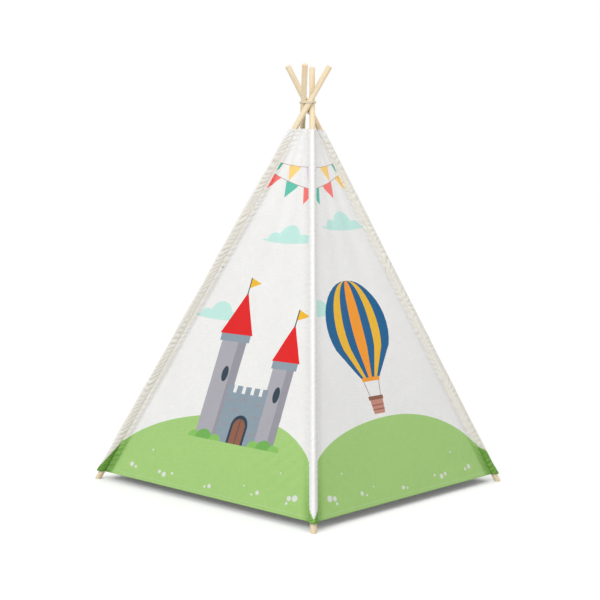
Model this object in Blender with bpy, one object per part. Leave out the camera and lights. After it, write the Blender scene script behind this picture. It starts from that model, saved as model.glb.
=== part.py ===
"""A children's play teepee: four wooden poles lashed where they cross, in the corner sleeves of a cloth cover.

Run it in Blender 4.5, from the Text Editor or with blender --background --python part.py.
Lengths are in metres and +Z is up. The origin is on the floor, at the centre of the square of feet.
The front faces -Y and the door is in the back wall, which faces +Y.
"""

import math

import bmesh
import bpy
from mathutils import Matrix, Vector

# Driving dimensions of the frame
FOOT_SPACING = 1.100  # from pole to pole along a wall, on the floor
CROSSING_HEIGHT = 1.444
POLE_LENGTH = 1.806
POLE_DIAMETER = 0.022
POLE_JOINT_SHARE = 0.5  # of the pole's length, where its two sections meet
TIP_ROUND = 0.002
FERRULE_LENGTH = 0.080
FERRULE_WALL = 0.0008
TOUCH_GAP = 0.0003  # between pieces that touch
DECIMALS = 3

# Driving dimensions of the cover
HEM_HEIGHT = 0.031
TOP_BELOW_CROSSING = 0.091
CLOTH = 0.0012
GATHER_DEPTH = 0.0011  # how far the sleeve's gathers stand out
GATHER_PITCH = 0.074
SEAM_GAP = 0.0005  # from the side of a sleeve to a wall
WALL_SAG = 0.012
WALL_FOLD_DEPTH = 0.005
DOOR_HEIGHT = 0.985
DOOR_SLIT = 0.006
FLAP_GAP = 0.0007  # from the side of a sleeve to a flap's seam
FLAP_FOLD_DEPTH = 0.009

# Driving dimensions of the lashing
CORD_DIAMETER = 0.004
LASHING_TURNS = 2
LASHING_TURN_GAP = 0.0005
LASHING_ABOVE_CROSSING = 0.006
KNOT_GAP = 0.0004
KNOT_TURNS = 1.6

# Counts and shares
POLE_SIDES = 16
SLEEVE_SIDES = 12
TIP_SEGMENTS = 2
LASHING_POINTS = 24
KNOT_POINTS = 16
WALL_COLUMNS = 12
WALL_ROWS = 14
HEADER_ROWS = 5
FLAP_COLUMNS = 8
FLAP_ROWS = 10
WALL_FOLDS = 3
FLAP_FOLDS = 2.5
HEM_FOLD_SHARE = 0.35  # of a fold's depth that is left at the hem
SEAM_SIDE_SHARE = 1.5 / SLEEVE_SIDES  # of a turn round a pole, to the side that carries the next wall
KNOT_BEARING = math.radians(135)  # over the back left corner

# Colours as seen, with roughness and metallic value
PINE = (0.87, 0.71, 0.47, 1)
CANVAS = (0.88, 0.88, 0.87, 1)
SLEEVE_CLOTH = (0.80, 0.76, 0.66, 1)
ALUMINIUM = (0.80, 0.80, 0.82, 1)
ROPE = (0.86, 0.80, 0.66, 1)

# Shapes that follow from the sizes
FOOT_RADIUS = FOOT_SPACING / math.sqrt(2)
LEAN = math.atan2(FOOT_RADIUS, CROSSING_HEIGHT)
SIN, COS = math.sin(LEAN), math.cos(LEAN)
POLE_RADIUS = POLE_DIAMETER / 2
POLE_OFFSET = (POLE_DIAMETER + TOUCH_GAP) / 2 * math.sqrt(1 + COS**2) / COS
FERRULE_BORE = POLE_RADIUS + TOUCH_GAP
FERRULE_RADIUS = FERRULE_BORE + FERRULE_WALL
FLAT_TO_CORNER = 1 / math.cos(math.pi / SLEEVE_SIDES)
SLEEVE_BORE = (FERRULE_RADIUS + TOUCH_GAP) * FLAT_TO_CORNER
SLEEVE_RADIUS = SLEEVE_BORE + CLOTH * FLAT_TO_CORNER
SIDE_RADIUS = (SLEEVE_RADIUS + GATHER_DEPTH) / FLAT_TO_CORNER
COVER_TOP = CROSSING_HEIGHT - TOP_BELOW_CROSSING
WALL_LEAN = math.atan2(FOOT_SPACING / 2, CROSSING_HEIGHT)
WALL_OUT = Vector((math.cos(WALL_LEAN), 0, math.sin(WALL_LEAN)))
CORNERS = ("front_right", "back_right", "back_left", "front_left")


def quarter(turns):
    """Turns a corner or a wall to its place: each is a quarter turn from the one before it."""
    return Matrix.Rotation(math.radians(90) * turns, 4, "Z")


def pole_frame(corner):
    """The pole's own frame: +Z up the pole, +X level, +Y inwards and down, its origin at the foot."""
    inwards = Vector((-math.sqrt(0.5), math.sqrt(0.5), 0))
    level = Vector((inwards.y, -inwards.x, 0))
    along = inwards * SIN + Vector((0, 0, COS))
    foot = level * POLE_OFFSET - inwards * FOOT_RADIUS
    axes = Matrix((level, along.cross(level), along)).transposed().to_4x4()
    return quarter(corner) @ Matrix.Translation(foot) @ axes


def at_height(x, y, height):
    """The point of a pole's frame that lies x and y off its axis, this high over the floor."""
    return Vector((x, y, (height + y * SIN) / COS))


def round_the_pole(radius, angle, height):
    return at_height(radius * math.cos(angle), radius * math.sin(angle), height)


def material(name, colour, roughness, metallic=0.0):
    made = bpy.data.materials.new(name)
    made.use_nodes = True
    shader = made.node_tree.nodes["Principled BSDF"]
    shader.inputs["Base Color"].default_value = colour
    shader.inputs["Roughness"].default_value = roughness
    shader.inputs["Metallic"].default_value = metallic
    return made


def add_object(name, data, finish, frame, pivot=None):
    """Places an object by its frame, under the pivot of the piece that it moves with."""
    made = bpy.data.objects.new(name, data)
    bpy.context.scene.collection.objects.link(made)
    data.materials.append(finish)
    made.rotation_euler = frame.to_euler()
    made.location = frame.translation
    if pivot:
        made.parent = pivot
        made.location = frame.translation - pivot.location
    return made


def mesh_from(bm, name, smooth_angle=math.radians(40)):
    bmesh.ops.recalc_face_normals(bm, faces=bm.faces)
    mesh = bpy.data.meshes.new(name)
    bm.to_mesh(mesh)
    bm.free()
    mesh.shade_smooth()
    mesh.set_sharp_from_angle(angle=smooth_angle)
    return mesh


def pivot_at(name, place):
    made = bpy.data.objects.new(name, None)
    made.empty_display_size = POLE_DIAMETER
    made.location = place
    bpy.context.scene.collection.objects.link(made)
    return made


def closed_tube(name, rings):
    """A tube with a wall: rings of points go up the outside and down the bore, and meet again."""
    bm = bmesh.new()
    rows = [[bm.verts.new(point) for point in ring] for ring in rings]
    for row, after in zip(rows, rows[1:] + rows[:1]):
        for i in range(len(row)):
            bm.faces.new((row[i - 1], row[i], after[i], after[i - 1]))
    return mesh_from(bm, name)


def fold_pivot(corner, follows):
    """Where a pole turns on the next one, and the axis that closes it on that pole."""
    frame, other = pole_frame(corner), pole_frame(follows)
    along, other_along = frame.col[2].xyz, other.col[2].xyz
    axis = along.cross(other_along)
    between = other.translation - frame.translation
    near = between.cross(other_along).dot(axis) / axis.length_squared
    far = between.cross(along).dot(axis) / axis.length_squared
    place = frame.translation + along * near + other.translation + other_along * far
    return place / 2, axis.normalized()


def pole_section(name, low, high, is_upper):
    """A turned pole section. The lower one is cut level with the floor, the upper one is rounded off."""
    bm = bmesh.new()
    bmesh.ops.create_cone(
        bm,
        cap_ends=True,
        segments=POLE_SIDES,
        radius1=POLE_RADIUS,
        radius2=POLE_RADIUS,
        depth=high - low,
    )
    bmesh.ops.translate(bm, verts=bm.verts, vec=(0, 0, (low + high) / 2))
    if is_upper:
        middle = (low + high) / 2
        rim = [e for e in bm.edges if all(v.co.z > middle for v in e.verts)]
        bmesh.ops.bevel(
            bm, geom=rim, offset=TIP_ROUND, segments=TIP_SEGMENTS, profile=0.5, affect="EDGES"
        )
    else:
        for vert in bm.verts:
            if vert.co.z < (low + high) / 2:
                vert.co = at_height(vert.co.x, vert.co.y, low * COS)
    return mesh_from(bm, name)


def ferrule():
    """A thin metal tube over the butt joint of the two sections."""
    middle = POLE_LENGTH * POLE_JOINT_SHARE
    ends = (middle - FERRULE_LENGTH / 2, middle + FERRULE_LENGTH / 2)
    section = [(FERRULE_RADIUS, ends[0]), (FERRULE_RADIUS, ends[1])]
    section += [(FERRULE_BORE, ends[1]), (FERRULE_BORE, ends[0])]
    step = 2 * math.pi / POLE_SIDES
    rings = [
        [(r * math.sin(i * step), r * math.cos(i * step), z) for i in range(POLE_SIDES)]
        for r, z in section
    ]
    return closed_tube("ferrule", rings)


def sleeve():
    """The cloth tube that holds a pole, with gathers that run round it on a slant."""
    step = 2 * math.pi / SLEEVE_SIDES
    count = 2 * round((COVER_TOP - HEM_HEIGHT) / GATHER_PITCH)
    rings = []
    for row in range(count + 1):
        height = HEM_HEIGHT + (COVER_TOP - HEM_HEIGHT) * row / count
        ring = []
        for i in range(SLEEVE_SIDES):
            swell = (1 + math.cos(math.pi * row + i * step)) / 2
            ring.append(round_the_pole(SLEEVE_RADIUS + GATHER_DEPTH * swell, i * step, height))
        rings.append(ring)
    for height in (COVER_TOP, HEM_HEIGHT):
        rings.append([round_the_pole(SLEEVE_BORE, i * step, height) for i in range(SLEEVE_SIDES)])
    return closed_tube("sleeve", rings)


def seam_point(wall_corner, height, gap):
    """Where a wall's edge lies beside the sleeve of its first corner, 0, or of its second, 1."""
    turn = 2 * math.pi * SEAM_SIDE_SHARE
    angle = math.pi - turn if wall_corner else turn
    return pole_frame(wall_corner) @ round_the_pole(SIDE_RADIUS + gap, angle, height)


def wall_point(across, height, gap, folds, depth):
    """A point of the +X wall: straight between its two seams, sagging inwards and lightly folded."""
    start, end = seam_point(0, height, gap), seam_point(1, height, gap)
    up = (height - HEM_HEIGHT) / (COVER_TOP - HEM_HEIGHT)
    held = math.sin(math.pi * across)
    sag = WALL_SAG * held * math.sin(math.pi * up)
    share = HEM_FOLD_SHARE + (1 - HEM_FOLD_SHARE) * up
    fold = depth * share * held * math.cos(2 * math.pi * folds * (across - 1 / 2))
    return start.lerp(end, across) + WALL_OUT * (fold - sag)


def cloth_piece(name, columns, rows, place):
    """A sheet of the cover, its grid of shares 0 to 1 moved to its place and given its thickness."""
    bm = bmesh.new()
    bmesh.ops.create_grid(bm, x_segments=columns, y_segments=rows, size=1)
    for vert in bm.verts:
        vert.co = place((1 + vert.co.x) / 2, (1 + vert.co.y) / 2)
    mesh = mesh_from(bm, name, math.pi)
    return mesh


def thicken(piece):
    wall = piece.modifiers.new("Cloth thickness", "SOLIDIFY")
    wall.thickness = CLOTH
    wall.offset = 0
    return piece


def whole_wall(across, up):
    height = HEM_HEIGHT + (COVER_TOP - HEM_HEIGHT) * up
    return wall_point(across, height, SEAM_GAP, WALL_FOLDS, WALL_FOLD_DEPTH)


def door_header(across, up):
    height = DOOR_HEIGHT + (COVER_TOP - DOOR_HEIGHT) * up
    return wall_point(across, height, SEAM_GAP, WALL_FOLDS, WALL_FOLD_DEPTH)


def door_flap(side, across, up):
    """Half of the door, from its seam at across 0 to the slit, under the header."""
    top = DOOR_HEIGHT - CLOTH - TOUCH_GAP
    height = HEM_HEIGHT + (top - HEM_HEIGHT) * up
    width = (seam_point(1, height, FLAP_GAP) - seam_point(0, height, FLAP_GAP)).length
    inner = 1 / 2 - DOOR_SLIT / 2 / width
    wall = inner * across if side == 0 else 1 - inner * across
    flat = wall_point(wall, height, FLAP_GAP, 0, 0)
    fold = math.sin(math.pi * across) * math.cos(2 * math.pi * FLAP_FOLDS * across)
    return flat + WALL_OUT * (FLAP_FOLD_DEPTH * fold * (1 - up * (1 - HEM_FOLD_SHARE)))


def bundle_point(bearing, height):
    """Where a cord that is drawn tight round the four poles runs, on this bearing from the middle."""
    out = Vector((math.cos(bearing), math.sin(bearing)))
    reach = POLE_RADIUS + TOUCH_GAP + CORD_DIAMETER / 2
    best = None
    for corner in range(len(CORNERS)):
        frame = pole_frame(corner)
        centre = (frame @ at_height(0, 0, height)).xy
        level, inwards = frame.col[0].xy, Vector((-frame.col[0].y, frame.col[0].x))
        on_level, on_inwards = out.dot(level) * reach, out.dot(inwards) * reach / COS
        size = math.hypot(on_level, on_inwards)
        touch = centre + level * (on_level * reach / size) + inwards * (on_inwards * reach / COS / size)
        if best is None or touch.dot(out) > best.dot(out):
            best = touch
    return Vector((best.x, best.y, height))


# The cord's ends, from the winding outwards: out of the bundle, along it and up, in cord diameters
TAIL_SHARES = (
    (0.10, 1.3, 0.00),
    (0.65, 2.3, -0.08),
    (1.50, 2.35, -0.45),
    (2.15, 1.50, -1.20),
    (2.45, 0.80, -2.00),
    (2.54, 0.61, -2.80),
    (2.54, 0.61, -3.80),
    (2.54, 0.61, -4.80),
    (2.54, 0.61, -5.80),
    (2.58, 0.80, -7.00),
    (2.66, 1.20, -8.20),
    (2.66, 1.60, -9.40),
)
KNOT_CENTRE_SHARES = (2.54, 0.0, -3.5)  # the wrap's upper end, in cord diameters
TAIL_APART_SHARE = 0.61  # of a cord's diameter, from each tail to the line between them


def knot_place(height):
    """The knot's own frame: out of the bundle, along it, and up."""
    out = Vector((math.cos(KNOT_BEARING), math.sin(KNOT_BEARING), 0))
    along = Vector((-out.y, out.x, 0))
    axes = Matrix((out, along, out.cross(along))).transposed().to_4x4()
    return Matrix.Translation(bundle_point(KNOT_BEARING, height)) @ axes


def smooth_route(points, steps=3):
    """Points along a smooth curve through the given ones."""
    route = []
    for i in range(len(points) - 1):
        a, b = points[max(i - 1, 0)], points[i]
        c, d = points[i + 1], points[min(i + 2, len(points) - 1)]
        for step in range(steps):
            t = step / steps
            route.append(
                (b * 2 + (c - a) * t + (a * 2 - b * 5 + c * 4 - d) * t**2 + (b * 3 - a - c * 3 + d) * t**3)
                / 2
            )
    return route + [points[-1]]


def lashing_route():
    """One tail, the turns round the poles, and the other tail."""
    rise = CORD_DIAMETER + LASHING_TURN_GAP
    low = CROSSING_HEIGHT + LASHING_ABOVE_CROSSING
    high = low + rise * LASHING_TURNS
    place = knot_place(low)
    lift = knot_place(high).translation - place.translation
    start, end = [], []
    for out, along, up in TAIL_SHARES:
        start.append(place @ (Vector((out, -along, up)) * CORD_DIAMETER))
        still_high = 1 - min(1, up / KNOT_CENTRE_SHARES[2])
        end.append(place @ (Vector((out, along, up)) * CORD_DIAMETER) + lift * still_high)
    turns = []
    for i in range(LASHING_TURNS * LASHING_POINTS + 1):
        turn = i / LASHING_POINTS
        turns.append(bundle_point(KNOT_BEARING + 2 * math.pi * turn, low + rise * turn))
    return smooth_route(start[::-1])[:-1] + [start[0]] + turns + smooth_route(end)


def knot_route():
    """A wrap round both tails, drawn tight under the winding."""
    place = knot_place(CROSSING_HEIGHT + LASHING_ABOVE_CROSSING)
    out, along, up = (share * CORD_DIAMETER for share in KNOT_CENTRE_SHARES)
    reach = CORD_DIAMETER + KNOT_GAP
    apart = TAIL_APART_SHARE * CORD_DIAMETER
    fall = CORD_DIAMETER + LASHING_TURN_GAP
    route = []
    for i in range(round(KNOT_TURNS * KNOT_POINTS) + 1):
        turn = i / KNOT_POINTS
        angle = 2 * math.pi * turn
        side = apart * max(-1, min(1, 2 * math.sin(angle)))
        offset = Vector((reach * math.cos(angle), side + reach * math.sin(angle), -fall * turn))
        route.append(place @ (Vector((out, along, up)) + offset))
    return route


def cord(name, route):
    """A round cord along a route, with flat ends."""
    curve = bpy.data.curves.new(name, "CURVE")
    curve.dimensions = "3D"
    curve.bevel_depth = CORD_DIAMETER / 2
    curve.bevel_resolution = 1
    curve.use_fill_caps = True
    spline = curve.splines.new("POLY")
    spline.points.add(len(route) - 1)
    for point, place in zip(spline.points, route):
        point.co = (*place, 1)
    return curve


def print_self_gap(name, route):
    """The least distance between two stretches of one cord that lie side by side."""
    lengths = [0]
    for a, b in zip(route, route[1:]):
        lengths.append(lengths[-1] + (b - a).length)
    apart = 2 * math.pi * CORD_DIAMETER / 2 + CORD_DIAMETER
    least = min(
        (a - b).length
        for i, a in enumerate(route)
        for j, b in enumerate(route)
        if lengths[j] - lengths[i] > apart
    )
    print(f"{name}: least gap to itself {round((least - CORD_DIAMETER) * 1000, DECIMALS)} mm")


for old in list(bpy.data.objects):
    bpy.data.objects.remove(old)

wood = material("Pine", PINE, 0.6)
metal = material("Aluminium", ALUMINIUM, 0.35, 1.0)
canvas = material("Canvas", CANVAS, 0.9)
sleeve_cloth = material("Sleeve cloth", SLEEVE_CLOTH, 0.9)
rope = material("Lashing cord", ROPE, 0.85)

# The front right pole stays, its two neighbours turn on it, and the back left pole turns on the front left one
FOLDS = {"front_left": "front_right", "back_right": "front_right", "back_left": "front_left"}
pivots = {"front_right": None}
for moving, held_by in FOLDS.items():
    spot, fold_axis = fold_pivot(CORNERS.index(moving), CORNERS.index(held_by))
    pivots[moving] = pivot_at(f"{moving}_fold", spot)

joint_at = POLE_LENGTH * POLE_JOINT_SHARE
lower = pole_section("pole_lower", 0, joint_at - TOUCH_GAP / 2, False)
upper = pole_section("pole_upper", joint_at + TOUCH_GAP / 2, POLE_LENGTH, True)
tube, cloth_tube = ferrule(), sleeve()
for number, corner_name in enumerate(CORNERS):
    frame_here, pivot_here = pole_frame(number), pivots[corner_name]
    for kind, data, finish in (
        ("pole_lower", lower, wood),
        ("pole_upper", upper, wood),
        ("ferrule", tube, metal),
        ("sleeve", cloth_tube, sleeve_cloth),
    ):
        add_object(f"{kind}_{corner_name}", data.copy(), finish, frame_here, pivot_here)

# Each wall starts at the corner of its own number, and its cloth is sewn to the pole that carries it
panel = cloth_piece("panel", WALL_COLUMNS, WALL_ROWS, whole_wall)
for wall_number, wall_name, carrier in (
    (0, "right_panel", "front_right"),
    (2, "left_panel", "front_left"),
    (3, "front_panel", "front_right"),
):
    thicken(add_object(wall_name, panel.copy(), canvas, quarter(wall_number), pivots[carrier]))

header = cloth_piece("header", WALL_COLUMNS, HEADER_ROWS, door_header)
thicken(add_object("door_header", header, canvas, quarter(1), pivots["back_right"]))

# A flap swings on its seam, which runs up the sleeve beside it
for side_number, flap_name in enumerate(("door_flap_right", "door_flap_left")):
    flap = cloth_piece(
        flap_name, FLAP_COLUMNS, FLAP_ROWS, lambda x, y, side=side_number: door_flap(side, x, y)
    )
    hinge = pivot_at(f"{flap_name}_seam", quarter(1) @ seam_point(side_number, HEM_HEIGHT, FLAP_GAP))
    thicken(add_object(flap_name, flap, canvas, quarter(1), hinge))

# The lashing holds the four poles together where they cross
for cord_name, cord_route in (("lashing_cord", lashing_route()), ("lashing_knot", knot_route())):
    add_object(cord_name, cord(cord_name, cord_route), rope, Matrix.Identity(4))
    print_self_gap(cord_name, cord_route)
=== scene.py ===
"""A children's play teepee: pine poles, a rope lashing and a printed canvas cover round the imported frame.

Lengths are in metres and +Z is up. The front wall faces -Y, and the back wall, with the door, faces +Y.
Each corner and each wall is a quarter turn from the one before it, anticlockwise from above. The corners
start at the front right, and the walls at the right.
"""

import functools
import math

import bmesh
import bpy
from mathutils import Matrix, Vector, noise
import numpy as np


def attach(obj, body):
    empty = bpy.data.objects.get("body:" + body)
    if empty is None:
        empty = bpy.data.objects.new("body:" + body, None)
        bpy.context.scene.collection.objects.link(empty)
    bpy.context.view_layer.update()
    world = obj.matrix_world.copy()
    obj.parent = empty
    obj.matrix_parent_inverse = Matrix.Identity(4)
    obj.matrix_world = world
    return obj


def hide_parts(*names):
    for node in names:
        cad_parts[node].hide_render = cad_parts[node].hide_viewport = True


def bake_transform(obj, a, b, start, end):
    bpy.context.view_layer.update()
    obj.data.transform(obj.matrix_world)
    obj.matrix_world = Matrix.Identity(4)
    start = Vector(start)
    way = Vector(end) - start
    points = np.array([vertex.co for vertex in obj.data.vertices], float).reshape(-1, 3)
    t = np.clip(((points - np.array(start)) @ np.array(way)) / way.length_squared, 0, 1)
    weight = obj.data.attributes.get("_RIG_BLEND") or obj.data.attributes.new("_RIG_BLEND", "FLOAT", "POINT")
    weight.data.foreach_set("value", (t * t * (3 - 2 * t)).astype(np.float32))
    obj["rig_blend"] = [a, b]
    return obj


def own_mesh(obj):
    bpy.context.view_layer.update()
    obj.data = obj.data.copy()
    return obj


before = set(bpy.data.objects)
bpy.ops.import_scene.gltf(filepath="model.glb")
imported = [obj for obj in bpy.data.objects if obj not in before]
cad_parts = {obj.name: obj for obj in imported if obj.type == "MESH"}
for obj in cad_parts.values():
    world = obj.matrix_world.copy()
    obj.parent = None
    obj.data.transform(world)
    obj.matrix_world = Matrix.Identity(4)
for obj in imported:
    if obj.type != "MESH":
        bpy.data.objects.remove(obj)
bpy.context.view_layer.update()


# The studio: a white floor that keeps the tent's shadow, and a pale sky all round that lights it softly.
# A broad lamp in front keeps the front wall brighter than the right one, a weaker one stands behind the tent,
# and a small one lifts its top.
CAMERA_DISTANCE = 5.046
CAMERA_HEIGHT = 1.1585
CAMERA_BEARING = math.radians(42.61)  # from straight in front, towards the right
CAMERA_PITCH = math.radians(-5.17)
CAMERA_ROLL = math.radians(1.22)
CAMERA_LENS = 79.14  # in millimetres, as is the sensor
CAMERA_SENSOR = 36
CAMERA_SHIFT = -0.006
FLOOR_SIZE = 60.0
FLOOR_WHITE = (0.95, 0.95, 0.95, 1)
FLOOR_DULL = (0.62, 0.62, 0.62, 1)  # what the tent is lit by
FLOOR_GLOW = 0.09
SKY_STRENGTH = 0.71
LAMPS = (
    # The strength, spread, bearing and height of the lamp in front and of the weaker one behind
    (0.355 * math.pi, math.radians(32), math.radians(5), math.radians(40)),
    (0.17 * math.pi, math.radians(60), math.radians(215), math.radians(45)),
)
TOP_LAMP_POWER = 6.5
TOP_LAMP_SIZE = 0.9
TOP_LAMP_PLACE = (1.5, math.radians(75), 2.0)  # out from the tent, bearing, height
TOP_LAMP_AIM = 1.2  # the height on the tent's middle line that it points at


def node(tree, kind, inputs=None, **settings):
    """Adds a shader node. Each input is a value, or a socket to link."""
    made = tree.nodes.new(kind)
    for name, value in settings.items():
        setattr(made, name, value)
    for name, value in (inputs or {}).items():
        if isinstance(value, bpy.types.NodeSocket):
            tree.links.new(value, made.inputs[name])
        else:
            made.inputs[name].default_value = value
    return made


def mixed(tree, share, first, second):
    """A colour between two, which is the second where share is 1."""
    return node(tree, "ShaderNodeMix", {"Factor": share, 6: first, 7: second}, data_type="RGBA").outputs[2]


def ranged(tree, value, given=(0, 1), wanted=(0, 1)):
    """A value moved from a given range to a wanted one, and kept inside it."""
    ends = {"From Min": given[0], "From Max": given[1], "To Min": wanted[0], "To Max": wanted[1]}
    return node(tree, "ShaderNodeMapRange", {"Value": value, **ends}).outputs[0]


def combined(tree, operation, first, second, **settings):
    return node(tree, "ShaderNodeMath", {0: first, 1: second}, operation=operation, **settings).outputs[0]


def seen_directly(tree):
    """1 for a ray that the camera, a mirror or glass sends, and 0 for one that lights the object."""
    rays = tree.nodes.new("ShaderNodeLightPath").outputs
    mirrored = combined(tree, "ADD", rays["Is Camera Ray"], rays["Is Glossy Ray"])
    return combined(tree, "ADD", mirrored, rays["Is Transmission Ray"], use_clamp=True)


def put_in(name, data):
    """Adds an object to the scene, at the origin."""
    made = bpy.data.objects.new(name, data)
    bpy.context.scene.collection.objects.link(made)
    return made


def towards(bearing, height):
    """The direction from the tent to something at this bearing and height."""
    level = math.cos(height)
    return Vector((math.sin(bearing) * level, -math.cos(bearing) * level, math.sin(height)))


sky = bpy.data.worlds.new("studio_sky")
sky.use_nodes = True
sky_light = sky.node_tree.nodes["Background"]
sky_light.inputs["Color"].default_value = (1, 1, 1, 1)
sky_glow = ranged(sky.node_tree, seen_directly(sky.node_tree), wanted=(SKY_STRENGTH, 1.0))
sky.node_tree.links.new(sky_glow, sky_light.inputs["Strength"])
bpy.context.scene.world = sky

floor_mesh = bmesh.new()
bmesh.ops.create_grid(floor_mesh, x_segments=1, y_segments=1, size=FLOOR_SIZE / 2)
floor_data = bpy.data.meshes.new("floor")
floor_mesh.to_mesh(floor_data)
floor_mesh.free()
floor = put_in("floor", floor_data)
paper = bpy.data.materials.new("floor_paper")
paper.use_nodes = True
floor_tree = paper.node_tree
floor_tree.nodes.clear()
floor_seen = seen_directly(floor_tree)
floor_colour = mixed(floor_tree, floor_seen, FLOOR_DULL, FLOOR_WHITE)
floor_glow = combined(floor_tree, "MULTIPLY", floor_seen, FLOOR_GLOW)
floor_shade = node(floor_tree, "ShaderNodeBsdfDiffuse", {"Color": floor_colour})
floor_light = node(floor_tree, "ShaderNodeEmission", {"Strength": floor_glow})
floor_both = node(floor_tree, "ShaderNodeAddShader", {0: floor_shade.outputs[0], 1: floor_light.outputs[0]})
node(floor_tree, "ShaderNodeOutputMaterial", {"Surface": floor_both.outputs[0]})
floor_data.materials.append(paper)

for lamp_name, (strength, spread, bearing, height) in zip(("front_lamp", "back_lamp"), LAMPS):
    lamp_data = bpy.data.lights.new(lamp_name, "SUN")
    lamp_data.energy = strength
    lamp_data.angle = spread
    lamp = put_in(lamp_name, lamp_data)
    lamp.rotation_mode = "QUATERNION"
    lamp.rotation_quaternion = towards(bearing, height).to_track_quat("Z", "Y")

top_data = bpy.data.lights.new("top_lamp", "AREA")
top_data.energy = TOP_LAMP_POWER
top_data.size = TOP_LAMP_SIZE
top_lamp = put_in("top_lamp", top_data)
lamp_out, lamp_bearing, lamp_height = TOP_LAMP_PLACE
top_lamp.location = towards(lamp_bearing, 0) * lamp_out + Vector((0, 0, lamp_height))
top_lamp.rotation_mode = "QUATERNION"
top_lamp.rotation_quaternion = (top_lamp.location - Vector((0, 0, TOP_LAMP_AIM))).to_track_quat("Z", "Y")
top_lamp.visible_camera = False

camera_data = bpy.data.cameras.new("camera")
camera_data.lens = CAMERA_LENS
camera_data.sensor_width = CAMERA_SENSOR
camera_data.shift_x = CAMERA_SHIFT
camera = put_in("camera", camera_data)
stand = towards(CAMERA_BEARING, 0) * CAMERA_DISTANCE + Vector((0, 0, CAMERA_HEIGHT))
turned = Matrix.Rotation(CAMERA_BEARING, 4, "Z") @ Matrix.Rotation(math.pi / 2 + CAMERA_PITCH, 4, "X")
camera.matrix_world = Matrix.Translation(stand) @ turned @ Matrix.Rotation(CAMERA_ROLL, 4, "Z")
bpy.context.scene.camera = camera
bpy.context.scene.view_settings.view_transform = "Standard"


# The poles: four pine dowels in two turned sections each, which a metal ferrule joins at half length.
# Each is sawn level at the foot, rounded over at the tip, and leans inwards past the middle of the tent.
FOOT_SPACING = 1.100
CROSSING_HEIGHT = 1.444
POLE_LENGTH = 1.806
POLE_RADIUS = 0.011
POLE_GAP = 0.0003
POLE_JOINT = POLE_LENGTH / 2
TIP_ROUND = 0.002
FOOT_ROUND = 0.0015
POLE_SIDES = 48
CORNERS = ("front_right", "back_right", "back_left", "front_left")
LEAN = math.atan2(FOOT_SPACING / math.sqrt(2), CROSSING_HEIGHT)
SIN, COS = math.sin(LEAN), math.cos(LEAN)
POLE_OFFSET = (2 * POLE_RADIUS + POLE_GAP) / 2 * math.sqrt(1 + COS**2) / COS
PINE_PALE = (0.82, 0.70, 0.49, 1)
PINE_WARM = (0.86, 0.62, 0.38, 1)
PINE_GRAIN = (0.66, 0.50, 0.29, 1)
PINE_KNOT = (0.40, 0.24, 0.12, 1)
LOG_STEP = (0.031, 0.017, 0.83)  # from where one pole lies in its log to where the next does


@functools.cache
def quarter(turns):
    return Matrix.Rotation(math.radians(90) * turns, 4, "Z")


@functools.cache
def pole_frame(corner):
    """The pole's own frame: +Z up the pole, +X level, +Y inwards and down, its origin at the foot."""
    inwards = Vector((-math.sqrt(0.5), math.sqrt(0.5), 0))
    level = Vector((inwards.y, -inwards.x, 0))
    along = inwards * SIN + Vector((0, 0, COS))
    foot = level * POLE_OFFSET - inwards * FOOT_SPACING / math.sqrt(2)
    axes = Matrix((level, along.cross(level), along)).transposed().to_4x4()
    return quarter(corner) @ Matrix.Translation(foot) @ axes


def at_height(x, y, height):
    """The point of a pole's frame that lies x and y off its axis, this high over the floor."""
    return Vector((x, y, (height + y * SIN) / COS))


def add_piece(name, bm, materials, smooth=math.radians(40)):
    """Turns a finished bmesh into an object that stands at the origin."""
    mesh = bpy.data.meshes.new(name)
    bm.to_mesh(mesh)
    bm.free()
    for material in materials:
        mesh.materials.append(material)
    mesh.shade_smooth()
    mesh.set_sharp_from_angle(angle=smooth)
    return put_in(name, mesh)


def finish_of(name, roughness, **constants):
    """A material, its node tree and its Principled shader, with its plain sockets set."""
    made = bpy.data.materials.new(name)
    made.use_nodes = True
    shader = made.node_tree.nodes["Principled BSDF"]
    shader.inputs["Roughness"].default_value = roughness
    for socket, value in constants.items():
        shader.inputs[socket.replace("_", " ")].default_value = value
    return made, made.node_tree, shader


def scaled(tree, place, scale):
    return node(tree, "ShaderNodeMapping", {"Vector": place, "Scale": scale}).outputs[0]


def mottled(tree, place, scale, detail):
    """A soft noise between 0 and 1."""
    sizes = {"Vector": place, "Scale": scale, "Detail": detail}
    return node(tree, "ShaderNodeTexNoise", sizes).outputs["Fac"]


def bumped(tree, height, strength, distance, **below):
    """A bumpy normal, over the one below it if there is one."""
    sizes = {"Height": height, "Strength": strength, "Distance": distance, **below}
    return node(tree, "ShaderNodeBump", sizes).outputs[0]


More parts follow.
